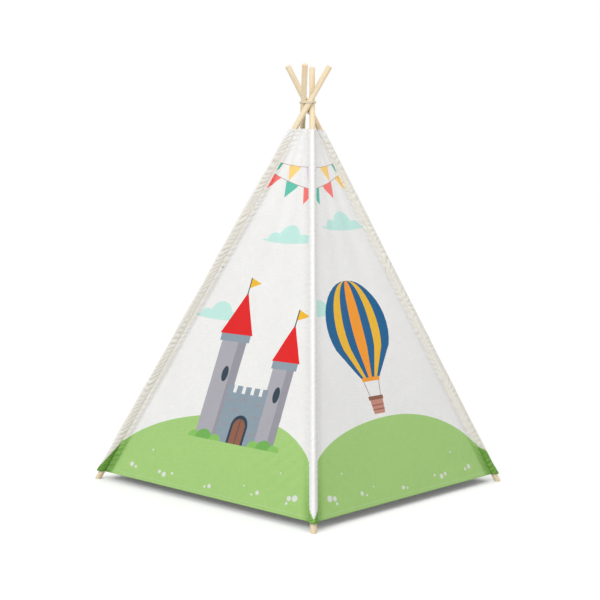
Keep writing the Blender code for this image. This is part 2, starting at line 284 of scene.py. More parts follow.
def pine():
    """Pale pine: growth rings that run out along the dowel as fine lines, and a small knot here and there."""
    made, tree, shader = finish_of("pine", 0.55)
    place = node(tree, "ShaderNodeAttribute", attribute_name="in_the_log").outputs["Vector"]
    drawn = scaled(tree, place, (1, 1, 0.045))
    waves = {"Vector": drawn, "Scale": 75.0, "Distortion": 5.0, "Detail": 3.0, "Detail Scale": 1.6}
    rings = node(tree, "ShaderNodeTexWave", waves).outputs["Fac"]
    grain = combined(tree, "MULTIPLY", rings, mottled(tree, drawn, 900.0, 3.0))
    warmth = ranged(tree, mottled(tree, scaled(tree, place, (20, 20, 7)), 1.0, 2.0), (0.48, 0.72), (0, 0.8))
    wood = mixed(tree, warmth, PINE_PALE, PINE_WARM)
    wood = mixed(tree, ranged(tree, grain, (0.15, 0.75), (0, 0.55)), wood, PINE_GRAIN)
    cells = {"Vector": scaled(tree, place, (1, 1, 0.35)), "Scale": 17.0}
    knots = node(tree, "ShaderNodeTexVoronoi", cells).outputs["Distance"]
    wood = mixed(tree, ranged(tree, knots, (0.12, 0.05), (0, 0.5)), wood, PINE_KNOT)
    tree.links.new(wood, shader.inputs["Base Color"])
    tree.links.new(bumped(tree, grain, 0.35, 0.0003), shader.inputs["Normal"])
    return made


def pole_section(name, corner, low, high, is_upper):
    """A turned section, with each point's place in its log kept for the grain."""
    bm = bmesh.new()
    middle = (low + high) / 2
    bmesh.ops.create_cone(
        bm, cap_ends=True, segments=POLE_SIDES, radius1=POLE_RADIUS, radius2=POLE_RADIUS, depth=high - low
    )
    bmesh.ops.translate(bm, verts=bm.verts, vec=(0, 0, middle))
    if not is_upper:
        for vert in bm.verts:
            if vert.co.z < middle:
                vert.co = at_height(vert.co.x, vert.co.y, low)
    turned_edges = [e for e in bm.edges if all((v.co.z > middle) == is_upper for v in e.verts)]
    rounded = TIP_ROUND if is_upper else FOOT_ROUND
    bmesh.ops.bevel(
        bm, geom=turned_edges, offset=rounded, segments=4, profile=0.5, affect="EDGES", material=-1
    )
    log = bm.verts.layers.float_vector.new("in_the_log")
    for vert in bm.verts:
        vert[log] = vert.co + Vector(LOG_STEP) * corner
    bmesh.ops.transform(bm, verts=bm.verts, matrix=pole_frame(corner))
    return add_piece(name, bm, [pine_finish])


pine_finish = pine()
for number, corner_name in enumerate(CORNERS):
    for kind, low, high in (
        ("pole_lower", 0, POLE_JOINT - POLE_GAP / 2),
        ("pole_upper", POLE_JOINT + POLE_GAP / 2, POLE_LENGTH),
    ):
        section = pole_section(f"{kind}_{corner_name}_turned", number, low, high, kind == "pole_upper")
        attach(section, corner_name)
        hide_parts(f"{kind}_{corner_name}")


# The ferrules: a drawn aluminium tube over the butt joint of each pole, under the cloth.
# Their shape is the frame's own, so they only get their brushed finish here.
FERRULE_METAL = (0.80, 0.80, 0.82, 1)
FERRULE_STROKES = (0.68, 0.68, 0.70, 1)
ferrule_finish, ferrule_tree, ferrule_shader = finish_of("brushed_aluminium", 0.35, Metallic=1.0)
ferrule_place = node(ferrule_tree, "ShaderNodeTexCoord").outputs["Object"]
brushed = mottled(ferrule_tree, scaled(ferrule_tree, ferrule_place, (1, 1, 40)), 60.0, 4.0)
ferrule_colour = mixed(ferrule_tree, brushed, FERRULE_METAL, FERRULE_STROKES)
ferrule_tree.links.new(ranged(ferrule_tree, brushed, wanted=(0.25, 0.5)), ferrule_shader.inputs["Roughness"])
ferrule_tree.links.new(ferrule_colour, ferrule_shader.inputs["Base Color"])
for corner_name in CORNERS:
    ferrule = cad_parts[f"ferrule_{corner_name}"]
    ferrule.data.materials.clear()
    ferrule.data.materials.append(ferrule_finish)


# The lashing: one length of three-strand cotton cord, wound twice round the four poles over their crossing.
# A second wrap binds its two ends together under the winding, and the ends hang down beside the poles.
CORD_DIAMETER = 0.004
STRAND_RADIUS = 0.00124
STRAND_REACH = 0.00100  # from the middle of the cord to the middle of a strand
STRAND_LAY = 0.015  # the length in which a strand goes once round the cord
CORD_STEP = 0.0012
LASHING_TURNS = 2
LASHING_TURN_GAP = 0.0005
LASHING_LOW = CROSSING_HEIGHT + 0.006
LASHING_POINTS = 24
KNOT_GAP = 0.0004
KNOT_TURNS = 1.6
KNOT_POINTS = 16
KNOT_BEARING = math.radians(135)
KNOT_CENTRE_SHARES = (2.54, 0.0, -3.5)
TAIL_APART_SHARE = 0.61
TAIL_SHARES = (
    (0.10, 1.3, 0.00),
    (0.65, 2.3, -0.08),
    (1.50, 2.35, -0.45),
    (2.15, 1.50, -1.20),
    (2.45, 0.80, -2.00),
    (2.54, 0.61, -2.80),
    (2.54, 0.61, -3.80),
    (2.54, 0.61, -4.80),
    (2.54, 0.61, -5.80),
    (2.58, 0.80, -7.00),
    (2.66, 1.20, -8.20),
    (2.66, 1.60, -9.40),
)
ROPE_PALE = (0.92, 0.85, 0.70, 1)
ROPE_SHADE = (0.76, 0.66, 0.48, 1)


def bundle_point(bearing, height):
    """Where a cord that is drawn tight round the four poles runs, on this bearing from the middle."""
    out = Vector((math.cos(bearing), math.sin(bearing)))
    reach = POLE_RADIUS + POLE_GAP + CORD_DIAMETER / 2
    touches = []
    for corner in range(len(CORNERS)):
        here = pole_frame(corner)
        centre = (here @ at_height(0, 0, height)).xy
        level, inwards = here.col[0].xy, Vector((-here.col[0].y, here.col[0].x))
        on_level, on_inwards = out.dot(level) * reach, out.dot(inwards) * reach / COS
        size = math.hypot(on_level, on_inwards)
        touch = centre + level * (on_level * reach / size)
        touches.append(touch + inwards * (on_inwards * reach / COS / size))
    return Vector((*max(touches, key=out.dot), height))


def knot_place(height):
    """The knot's own frame: out of the bundle, along it, and up."""
    out = Vector((math.cos(KNOT_BEARING), math.sin(KNOT_BEARING), 0))
    along = Vector((-out.y, out.x, 0))
    axes = Matrix((out, along, out.cross(along))).transposed().to_4x4()
    return Matrix.Translation(bundle_point(KNOT_BEARING, height)) @ axes


def lashing_route():
    """One tail, the turns round the poles, and the other tail."""
    rise = CORD_DIAMETER + LASHING_TURN_GAP
    place = knot_place(LASHING_LOW)
    lift = knot_place(LASHING_LOW + rise * LASHING_TURNS).translation - place.translation
    start, end = [], []
    for out, along, up in TAIL_SHARES:
        start.append(place @ (Vector((out, -along, up)) * CORD_DIAMETER))
        still_high = 1 - min(1, up / KNOT_CENTRE_SHARES[2])
        end.append(place @ (Vector((out, along, up)) * CORD_DIAMETER) + lift * still_high)
    turns = []
    for i in range(1, LASHING_TURNS * LASHING_POINTS):
        turn = i / LASHING_POINTS
        turns.append(bundle_point(KNOT_BEARING + 2 * math.pi * turn, LASHING_LOW + rise * turn))
    return start[::-1] + turns + end


def knot_route():
    """A wrap round both tails, drawn tight under the winding."""
    place = knot_place(LASHING_LOW)
    out, along, up = (share * CORD_DIAMETER for share in KNOT_CENTRE_SHARES)
    reach = CORD_DIAMETER + KNOT_GAP
    apart = TAIL_APART_SHARE * CORD_DIAMETER
    fall = CORD_DIAMETER + LASHING_TURN_GAP
    route = []
    for i in range(round(KNOT_TURNS * KNOT_POINTS) + 1):
        turn = i / KNOT_POINTS
        angle = 2 * math.pi * turn
        side = apart * max(-1, min(1, 2 * math.sin(angle)))
        offset = Vector((reach * math.cos(angle), side + reach * math.sin(angle), -fall * turn))
        route.append(place @ (Vector((out, along, up)) + offset))
    return route


def evenly_along(points, step):
    """Points at an even step along the smooth curve through the given ones."""
    fine = []
    for i in range(len(points) - 1):
        a, b = points[max(i - 1, 0)], points[i]
        c, d = points[i + 1], points[min(i + 2, len(points) - 1)]
        for t in (0, 0.25, 0.5, 0.75):
            bent = (a * 2 - b * 5 + c * 4 - d) * t**2 + (b * 3 - a - c * 3 + d) * t**3
            fine.append((b * 2 + (c - a) * t + bent) / 2)
    fine.append(points[-1])
    even, spare = [fine[0]], 0.0
    for a, b in zip(fine, fine[1:]):
        length = (b - a).length
        while spare + length >= step:
            a = a.lerp(b, (step - spare) / length)
            length = (b - a).length
            spare = 0.0
            even.append(a)
        spare += length
    return even


def laid_cord(name, route):
    """Three strands that twist round the route, as one curve."""
    curve = bpy.data.curves.new(name, "CURVE")
    curve.dimensions = "3D"
    curve.bevel_depth = STRAND_RADIUS
    curve.bevel_resolution = 2
    curve.use_fill_caps = True
    line = evenly_along(route, CORD_STEP)
    side = (line[1] - line[0]).orthogonal().normalized()
    strands = [[], [], []]
    for i, point in enumerate(line):
        ahead = (line[min(i + 1, len(line) - 1)] - line[max(i - 1, 0)]).normalized()
        side = (side - ahead * side.dot(ahead)).normalized()
        for number, strand in enumerate(strands):
            angle = 2 * math.pi * (i * CORD_STEP / STRAND_LAY + number / len(strands))
            off = side * math.cos(angle) + ahead.cross(side) * math.sin(angle)
            strand.append(point + off * STRAND_REACH)
    for strand in strands:
        spline = curve.splines.new("POLY")
        spline.points.add(len(strand) - 1)
        for made, place in zip(spline.points, strand):
            made.co = (*place, 1)
    curve.materials.append(rope_finish)
    return put_in(name, curve)


rope_finish, rope_tree, rope_shader = finish_of("cotton_rope", 0.85, Sheen_Weight=0.2)
rope_fibres = mottled(rope_tree, node(rope_tree, "ShaderNodeTexCoord").outputs["Object"], 1400.0, 3.0)
rope_tree.links.new(mixed(rope_tree, rope_fibres, ROPE_PALE, ROPE_SHADE), rope_shader.inputs["Base Color"])
rope_tree.links.new(bumped(rope_tree, rope_fibres, 0.5, 0.0002), rope_shader.inputs["Normal"])
for cord_name, cord_route in (("lashing_cord", lashing_route()), ("lashing_knot", knot_route())):
    cord = laid_cord(f"{cord_name}_laid", cord_route)
    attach(cord, "front_right")
    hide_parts(cord_name)


# The walls: three whole panels of cotton canvas, printed on the outside and hemmed at the foot and the top.
# Each is cut as a tall trapezium, sewn to the sleeves at both sides, and drawn nearly flat between two poles.
HEM_HEIGHT = 0.031
COVER_TOP = 1.353
CLOTH = 0.0009
SEAM_RADIUS = 0.0141  # from the middle of a pole to the seams beside it
SEAM_SIDE = math.radians(45)
WALL_LEAN = math.atan2(FOOT_SPACING / 2, CROSSING_HEIGHT)
WALL_LENGTH = (COVER_TOP - HEM_HEIGHT) / math.cos(WALL_LEAN)
WALL_SAG = 0.012
WALL_FOLDS = 3
WALL_FOLD_DEPTH = 0.0030
WALL_CELL = (0.012, 0.0055)
PATCH = 0.05  # a print looks only at the cloth's patches near it
CLOSE = 1e-6  # what lies this near to a cut is on it
HEM = 0.016  # the edge that is turned in and sewn down
HEM_TURN = 0.0008
HEM_BENDS = [HEM_TURN * math.pi * i / 3 for i in range(4)]
FOOT_BENDS = [-bend for bend in HEM_BENDS]
TOP_BENDS = [WALL_LENGTH + bend for bend in HEM_BENDS]
CUT_TOP = WALL_LENGTH + HEM
HEM_STITCH = HEM - 0.003  # from the fold of a hem to the stitches that hold it
ROW_END = 0.004  # where a row of stitches stops short of an edge
STITCH = (0.0032, 0.0007, 0.0005)
STITCH_TOP = 0.8  # its outer face is smaller by this share
STITCH_PITCH = 0.0050
SEAM_DIP = 0.0045  # how far the cloth dips beside a seam
SEAM_DIP_REACH = 0.014
NARROW = 0.1  # half the width of the cloth under which the dips of its two seams fade
RUFFLE_PITCH = 0.022  # between the little folds that the sewing leaves along a seam
RUFFLE_START = 0.004
RUFFLE_REACH = 0.021
RUFFLE_DEPTHS = (0.0006, 0.0012, 0.0013, 0.0014)  # at each corner
SEAM_LINES = (0.004, 0.010, 0.016, 0.026, 0.038)
LAP = 0.016  # the strip of sleeve cloth that lies over a wall's edge
LAP_AT_TOP = 0.006
LAP_PAST = 0.01  # how far its print runs past the cut side
LAP_SHADES = (0.02, 0.07, 0.11, 0.15)  # how much painted shade greys the cloth behind it, at each corner
LAP_SHADE_REACH = (0.006, 0.011)  # the middle of that painted grey from the lap's edge, and its reach
# Painted shade where the cloth is bunched at the foot, at each corner
FOOT_SHADES = (0.13, 0.16, 0.18, 0.20)
FOOT_SHADE_REACH = (0.022, 0.125)  # from the seam, and from the hem
# Painted light and shade along the little folds of a seam, at each corner
RUFFLE_SHADES = (0.02, 0.05, 0.05, 0.06)
GROOVE_LIGHT, GROOVE_REACH = 0.03, 0.005  # a painted highlight on the cloth right beside a seam, and its reach
CREASE_PITCH = 0.046
CREASE_DEPTHS = (0.0005, 0.0015)  # the second is at the right foot of one wall
CREASED_WALL = 3
PULL_IN = (0.12, 0.13)  # the middle and the reach of the pull of the lower corners, from the side
PULL_UP = (0.14, 0.16)  # the same, from the hem
TAUT_REACH = 0.05  # the cloth is even beside its seams
UNEVEN_DEPTH = 0.0014
DOOR_WALL = 1
CANVAS_WHITE = (0.83, 0.825, 0.81, 1)
# The side sleeves' cloth is darker and warmer than the walls: painted shade, with some warm pine tone showing
# through
SHADED_SLEEVE_CANVAS = (0.80, 0.775, 0.715, 1)
SLEEVE_CLOTHS_WITH_SHADE = (CANVAS_WHITE, SHADED_SLEEVE_CANVAS, SHADED_SLEEVE_CANVAS, SHADED_SLEEVE_CANVAS)  # at each corner: plain white at the front, painted shade at the other three
THREAD_PALE = (0.86, 0.85, 0.82, 1)
THREAD_SHADE = (0.70, 0.69, 0.66, 1)


def seam_point(wall, end, height):
    """Where a wall's edge lies beside the pole of its first corner, end 0, or of its second, end 1."""
    angle = math.pi - SEAM_SIDE if end else SEAM_SIDE
    beside = at_height(SEAM_RADIUS * math.cos(angle), SEAM_RADIUS * math.sin(angle), height)
    return pole_frame(wall + end) @ beside


@functools.cache
def wall_out(wall):
    return quarter(wall).to_3x3() @ Vector((math.cos(WALL_LEAN), 0, math.sin(WALL_LEAN)))


HALF_FOOT, HALF_TOP = (
    (seam_point(0, 1, height) - seam_point(0, 0, height)).length / 2 for height in (HEM_HEIGHT, COVER_TOP)
)


def half_width(y):
    """Half the width of a wall's cloth, this far up from its hem."""
    return HALF_FOOT + (HALF_TOP - HALF_FOOT) * y / WALL_LENGTH


def clamped(value):
    return min(1, max(0, value))


def bell(distance, reach, power=2):
    """1 at no distance, and near 0 past its reach."""
    return math.exp(-((distance / reach) ** power))


def rough(*place):
    """Smooth noise at a place, between -1 and 1."""
    return noise.noise(Vector(place))


def pucker(phase):
    """A row of little folds with narrow hollows, between -1 and 1."""
    return 1 - 2 * (0.5 - 0.5 * math.sin(2 * math.pi * phase)) ** 2


def ruffled(corner, y, inwards):
    """The little folds along a seam, which rise away from the pole and die out in the wall."""
    strength = RUFFLE_DEPTHS[corner] * (0.75 + 1.1 * rough(y * 12, corner * 3.3, 1.5))
    phase = (y - 0.5 * inwards) / RUFFLE_PITCH + 1.1 * rough(y * 17, inwards * 20, corner * 4.7)
    fade = min(1, inwards / RUFFLE_START) / (1 + (inwards / RUFFLE_REACH) ** 4)
    return strength * fade * pucker(phase)


def creases(wall, x, y):
    """How far the cloth stands out: slanting folds where its lower corners pull, and a slight unevenness."""
    edge = half_width(y) - abs(x)
    pulled = bell(edge - PULL_IN[0], PULL_IN[1]) * bell(y - PULL_UP[0], PULL_UP[1])
    slant = (abs(x) - y) * 0.707 / CREASE_PITCH + 0.9 * rough(x * 5, y * 5, wall * 7.3)
    uneven = rough(x * 4, y * 7, wall * 3.1 + 5) + 0.3 * rough(x * 8, y * 22, wall)
    depth = CREASE_DEPTHS[wall == CREASED_WALL and x > 0]
    stands = depth * pulled * math.cos(2 * math.pi * slant) + UNEVEN_DEPTH * uneven
    return ruffled((wall + (x > 0)) % 4, y, max(0, edge)) + clamped(edge / TAUT_REACH) * stands


def on_wall(wall, x, y, out=0.0):
    """Where a point of a wall's flat cloth hangs, x to the right and y up from the hem, seen from outside."""
    turned_in = max(-y, y - WALL_LENGTH, 0)
    fold_line = min(max(y, 0), WALL_LENGTH)
    rolled = min(turned_in / HEM_TURN, math.pi)
    back = HEM_TURN * math.sin(rolled) - max(turned_in - math.pi * HEM_TURN, 0)
    out -= HEM_TURN * (1 - math.cos(rolled))
    up = (fold_line + (back if y > fold_line else -back)) / WALL_LENGTH
    height = HEM_HEIGHT + (COVER_TOP - HEM_HEIGHT) * up
    half = half_width(fold_line)
    across = 0.5 + x / (2 * half)
    held = math.sin(math.pi * clamped(across))
    sag = WALL_SAG * held * math.sin(math.pi * clamped(up))
    depth = 0 if wall == DOOR_WALL else WALL_FOLD_DEPTH * (0.25 + 0.75 * up)
    fold = depth * held * math.cos(2 * math.pi * WALL_FOLDS * (across - 0.5))
    valley = max(half - abs(x), 0) / SEAM_DIP_REACH
    dip = SEAM_DIP * valley * math.exp(1 - valley) * min(1, half / NARROW)
    start, end = seam_point(wall, 0, height), seam_point(wall, 1, height)
    out += fold - sag - dip + creases(wall, x, fold_line)
    return start.lerp(end, across) + wall_out(wall) * out


def cut_through(bm, place, out, clear_outer=False):
    """Cuts all of a flat cloth along a line."""
    everything = bm.verts[:] + bm.edges[:] + bm.faces[:]
    bmesh.ops.bisect_plane(
        bm, geom=everything, dist=CLOSE, plane_co=place, plane_no=out, clear_outer=clear_outer
    )


def flat_cloth(low, high, left, right, cell=WALL_CELL, plain=CANVAS_WHITE):
    """A flat sheet of cells between two heights and two slanting sides, each given by its foot and top."""
    bm = bmesh.new()
    least, most = min(*left, *right), max(*left, *right)
    columns, rows = math.ceil((most - least) / cell[0]), math.ceil((high - low) / cell[1])
    bmesh.ops.create_grid(bm, x_segments=columns, y_segments=rows, size=1)
    for vert in bm.verts:
        vert.co.x = least + (most - least) * (1 + vert.co.x) / 2
        vert.co.y = low + (high - low) * (1 + vert.co.y) / 2
    for side, sign in ((left, -1), (right, 1)):
        foot, top = Vector((side[0], low, 0)), Vector((side[1], high, 0))
        cut_through(bm, foot, Vector((top.y - foot.y, foot.x - top.x, 0)) * sign, clear_outer=True)
    layer = bm.faces.layers.float_color.new("print")
    for face in bm.faces:
        face[layer] = plain
    return bm


def split(bm, bends, seams):
    """Adds rows of edges where a hem turns, and lines of edges beside the seams for the little folds."""
    for height in bends:
        cut_through(bm, (0, height, 0), (0, 1, 0))
    for sign in seams:
        out = (-WALL_LENGTH, -sign * (HALF_FOOT - HALF_TOP), 0)
        for inset in SEAM_LINES:
            cut_through(bm, (sign * (HALF_FOOT - inset), 0, 0), out)


def patch_of(face):
    """The patch of the flat cloth that a face lies in."""
    point = face.verts[0].co
    return int(point.x // PATCH), int(point.y // PATCH)


def patches(bm):
    """The faces of a flat cloth, by patch."""
    bins = {}
    for face in bm.faces:
        bins.setdefault(patch_of(face), set()).add(face)
    return bins


def print_on(bm, bins, outline, colour):
    """Prints one convex shape, its corners given anticlockwise."""
    layer = bm.faces.layers.float_color["print"]
    sides = []
    for (x, y), (next_x, next_y) in zip(outline, outline[1:] + outline[:1]):
        long = math.hypot(next_x - x, next_y - y)
        sides.append((x, y, (next_y - y) / long, (x - next_x) / long))
    faces = set()
    near = PATCH / 2 + 2 * WALL_CELL[0]
    for (across, up), held in bins.items():
        middle_x, middle_y = (across + 0.5) * PATCH, (up + 0.5) * PATCH
        if all((middle_x - x) * a + (middle_y - y) * b <= near * (abs(a) + abs(b)) for x, y, a, b in sides):
            faces |= held
    for x, y, a, b in sides:
        inside, crossed = [], []
        for face in faces:
            reach = [(vert.co.x - x) * a + (vert.co.y - y) * b for vert in face.verts]
            if max(reach) < CLOSE:
                inside.append(face)
            elif min(reach) < -CLOSE:
                crossed.append(face)
        faces = inside
        if not crossed:
            continue
        verts, edges = {v for f in crossed for v in f.verts}, {e for f in crossed for e in f.edges}
        cut = bmesh.ops.bisect_plane(
            bm, geom=[*verts, *edges, *crossed], dist=CLOSE, plane_co=(x, y, 0), plane_no=(a, b, 0)
        )
        for face in cut["geom"]:
            if isinstance(face, bmesh.types.BMFace):
                bins.setdefault(patch_of(face), set()).add(face)
                centre = face.calc_center_median()
                if (centre.x - x) * a + (centre.y - y) * b < 0:
                    faces.append(face)
    for face in faces:
        face[layer] = colour


def ink(code):
    """A printing ink from its screen colour, as linear light."""
    shares = [int(code[i : i + 2], 16) / 255 for i in (0, 2, 4)]
    return (*(s / 12.92 if s < 0.04045 else ((s + 0.055) / 1.055) ** 2.4 for s in shares), 1)


MEADOW, LEAF, BUSH = ink("A2CA78"), ink("86BE5E"), ink("6FAE52")
DOTS, MINT, STRING = ink("D9DDD5"), ink("BFE6DD"), ink("B79C93")
CORAL, TEAL, YELLOW, LILAC = ink("F47C77"), ink("5FBFA9"), ink("F8D07C"), ink("E6C6E6")
STONE, SLATE, BRICK, DARK = ink("A9A7AF"), ink("8A9AA6"), ink("94939C"), ink("2E3F4D")
RED, GOLD, BLUE, ORANGE = ink("DE1B1B"), ink("EDB92E"), ink("0A5E90"), ink("F39A2B")
BROWN, WICKER = ink("8D5C49"), ink("C48878")
STRING_THICKNESS = 0.0025
STRING_SAG = 0.012
FLAG_LENGTH = 0.062
HILLS = (
    # The middle and the crest of each wall's hill, then how far its left and its right side reach and fall
    (0.01, 0.300, (0.473, 0.15), (0.570, 0.40)),
    (-0.04, 0.290, (0.660, 0.40), (0.620, 0.40)),
    (0.06, 0.296, (0.620, 0.40), (0.580, 0.40)),
    (0.15, 0.306, (0.755, 0.40), (0.333, 0.21)),
)
HILL_OVERLAP = 0.002  # of a hill's two sides
MEADOW_REACH = 0.60
MEADOW_FOOT = 0.042  # where the green goes right round the corner
FLOWERS = (
    # The place of each on a wall, and its size
    (-0.43, 0.062, 0.0130), (-0.405, 0.058, 0.0100), (-0.40, 0.040, 0.0060), (-0.26, 0.052, 0.0090),
    (-0.236, 0.042, 0.0050), (-0.19, 0.066, 0.0035), (-0.03, 0.036, 0.0085), (-0.008, 0.031, 0.0055),
    (0.17, 0.050, 0.0060), (0.21, 0.040, 0.0110), (0.236, 0.046, 0.0080), (0.39, 0.050, 0.0110),
    (0.365, 0.044, 0.0070), (0.30, 0.120, 0.0050), (-0.34, 0.135, 0.0040),
)
TOWERS = ((-0.140, 0.062, 0.400, 0.165), (0.135, 0.052, 0.320, 0.140))  # middle, half width, height, roof
BRICKS = (
    (-0.085, 0.150), (-0.02, 0.158), (0.05, 0.148), (-0.055, 0.118),
    (0.055, 0.100), (-0.085, 0.06), (0.06, 0.04),
)
BUSHES = (
    (-0.205, 0.030, LEAF), (-0.155, 0.042, BUSH), (-0.098, 0.028, LEAF),
    (0.092, 0.030, LEAF), (0.145, 0.040, BUSH), (0.192, 0.026, LEAF),
)
GORES = ((0.180, BLUE), (0.128, GOLD), (0.078, BLUE), (0.030, ORANGE))  # half the width over each


def oval(x, y, half_wide, half_high, first=0, last=360, points=18):
    """The corners of an oval, or of the part of it between two angles."""
    count = points + (last - first < 360)
    angles = [math.radians(first + (last - first) * i / points) for i in range(count)]
    return [(x + half_wide * math.cos(a), y + half_high * math.sin(a)) for a in angles]


def block(left, low, right, high):
    return [(left, low), (right, low), (right, high), (left, high)]


def moved(shapes, x, y):
    return [([(x + across, y + up) for across, up in outline], colour) for outline, colour in shapes]


def cloud(x, y, size):
    """A flat-bottomed cloud of three puffs."""
    outlines = [oval(x, y, size, 0.12 * size, 180, 360, 8)]
    for at, wide, high in ((-0.52, 0.24, 0.20), (0.02, 0.42, 0.44), (0.55, 0.26, 0.17)):
        outlines.append(oval(x + at * size, y, wide * size, high * size, 0, 180, 12))
    return [(outline, MINT) for outline in outlines]


def garland(left, right, colours):
    """A string of little flags that hangs between two points."""

    def along(share):
        (x, y), (end_x, end_y) = left, right
        drop = 4 * STRING_SAG * share * (1 - share)
        return Vector((x + (end_x - x) * share, y + (end_y - y) * share - drop))

    shapes = []
    thick = Vector((0, STRING_THICKNESS))
    for i in range(10):
        a, b = along(i / 10), along((i + 1) / 10)
        shapes.append(([a, b, b + thick, a + thick], STRING))
    for i, colour in enumerate(colours):
        middle, half = (i + 0.5) / len(colours), 0.34 / len(colours)
        a, b = along(middle - half), along(middle + half)
        down = Vector((a.y - b.y, b.x - a.x)).normalized() * -FLAG_LENGTH
        shapes.append(([a, (a + b) / 2 + down, b], colour))
    return shapes


def hill(wall):
    """The meadow along the foot of a wall, with small pale flowers near its hem."""
    middle, crest, left_side, right_side = HILLS[wall]
    shapes = []
    for sign, first, (reach, fall) in ((-1, 90, left_side), (1, 0, right_side)):
        base, inner = crest - fall, middle - sign * HILL_OVERLAP
        slope = oval(middle, base, reach, fall, first, first + 90, 26)
        left, right = sorted((inner, sign * MEADOW_REACH))
        shapes.append((slope + [(inner, base)], MEADOW))
        shapes.append((block(left, -HEM, right, max(base, MEADOW_FOOT)), MEADOW))
    for x, y, size in FLOWERS:
        at = x if wall in (0, 1) else -x
        shapes.append((oval(at, y, size, size * 0.9, points=8), DOTS))
    return shapes


def castle():
    """A little castle: a wall with a gate between two towers, with red roofs and pennants, among bushes."""
    shapes = []
    for at, wide, high, roof in TOWERS:
        trim, eaves, peak = wide * 1.18, wide * 1.3, high + roof
        mast, tip = at + 0.0025, peak + 0.055
        shapes += [
            (block(at - wide, 0, at + wide, high), STONE),
            (block(at + wide * 0.35, 0, at + wide, high), BRICK),
            (block(at - trim, high - 0.028, at + trim, high), SLATE),
            ([(at - eaves, high), (at + eaves, high), (at, peak)], RED),
            (block(at - 0.0025, peak - 0.01, mast, tip), DARK),
            ([(mast, peak + 0.015), (at + 0.055, peak + 0.035), (mast, tip)], GOLD),
            (oval(at, high * 0.62, 0.016, 0.030, points=16), DARK),
        ]
    shapes.append((block(-0.100, 0, 0.092, 0.185), SLATE))
    for left in (-0.100, -0.0585, -0.017, 0.0245, 0.066):
        shapes.append((block(left, 0.185, left + 0.026, 0.212), SLATE))
    for left, low in BRICKS:
        shapes.append((block(left, low, left + 0.026, low + 0.011), BRICK))
    for wide, high, colour in ((0.040, 0.065, DARK), (0.029, 0.062, BROWN)):
        shapes.append((block(-wide, 0, wide, high), colour))
        shapes.append((oval(0, high, wide, wide + 0.002, 0, 180, 14), colour))
    shapes.append((block(-0.0015, 0, 0.0015, 0.090), DARK))
    for at, size, green in BUSHES:
        shapes.append((oval(at, 0, size, size * 0.85, points=16), green))
    shapes.append((block(-0.235, -0.036, 0.218, 0), MEADOW))
    return shapes


def balloon():
    """A hot-air balloon with coloured gores and a wicker basket."""
    shapes = []
    for foot, top in ((-0.0285, -0.048), (0.02565, 0.0432)):
        shapes.append(([(foot, 0.055), (foot + 0.003, 0.055), (top + 0.003, 0.135), (top, 0.135)], BROWN))
    for wide, colour in GORES:
        crown = oval(0, 0.330, wide, 0.175, -28, 208, 24)
        shapes.append((crown + [(-wide * 0.27, 0.130), (wide * 0.27, 0.130)], colour))
    return shapes + [
        (block(-0.050, 0.122, 0.050, 0.136), ORANGE),
        ([(-0.030, 0), (0.030, 0), (0.037, 0.060), (-0.037, 0.060)], WICKER),
        (block(-0.041, 0.052, 0.041, 0.066), BROWN),
        (block(-0.033, 0.014, 0.033, 0.018), BROWN),
        (block(-0.033, 0.030, 0.033, 0.034), BROWN),
    ]


# What is printed on each wall: its pictures, its meadow, and what stands in front of the meadow
PRINTS = (
    (
        cloud(0.02, 1.030, 0.135) + cloud(-0.24, 0.706, 0.11)
        + garland((-0.13, 1.262), (0.12, 1.292), (LILAC, YELLOW, TEAL))
        + garland((-0.15, 1.168), (0.12, 1.250), (TEAL, CORAL, YELLOW)),
        hill(0),
        moved(balloon(), -0.045, 0.315),
    ),
    (cloud(-0.16, 0.800, 0.11), hill(1), []),
    (cloud(0.05, 0.900, 0.13) + cloud(-0.17, 0.600, 0.10), hill(2), []),
    (
        cloud(0.07, 0.976, 0.130) + cloud(-0.16, 0.662, 0.130)
        + garland((-0.12, 1.292), (0.13, 1.262), (TEAL, YELLOW, LILAC))
        + garland((-0.12, 1.250), (0.15, 1.168), (CORAL, TEAL, CORAL)),
        hill(3),
        moved(castle(), 0.085, 0.200),
    ),
)


def lap(side, colour):
    """The strip of sleeve cloth along one side of a wall, in its sleeve's colour with its painted shade."""
    foot, top = half_width(-HEM), half_width(CUT_TOP)
    foot_corners = (foot - LAP, -HEM), (foot + LAP_PAST, -HEM)
    top_corners = (top + LAP_PAST, CUT_TOP), (top - LAP_AT_TOP, CUT_TOP)
    return [(side * x, y) for x, y in foot_corners + top_corners][::side], colour


def print_wall(bm, wall):
    """Prints a wall's pictures, with the laps of its sleeves over them and the meadow over all."""
    bins = patches(bm)
    pictures, meadow, standing = PRINTS[wall]
    laps = [lap(-1, SLEEVE_CLOTHS_WITH_SHADE[wall]), lap(1, SLEEVE_CLOTHS_WITH_SHADE[(wall + 1) % 4])]
    for outline, colour in pictures + laps + meadow + standing:
        print_on(bm, bins, outline, colour)


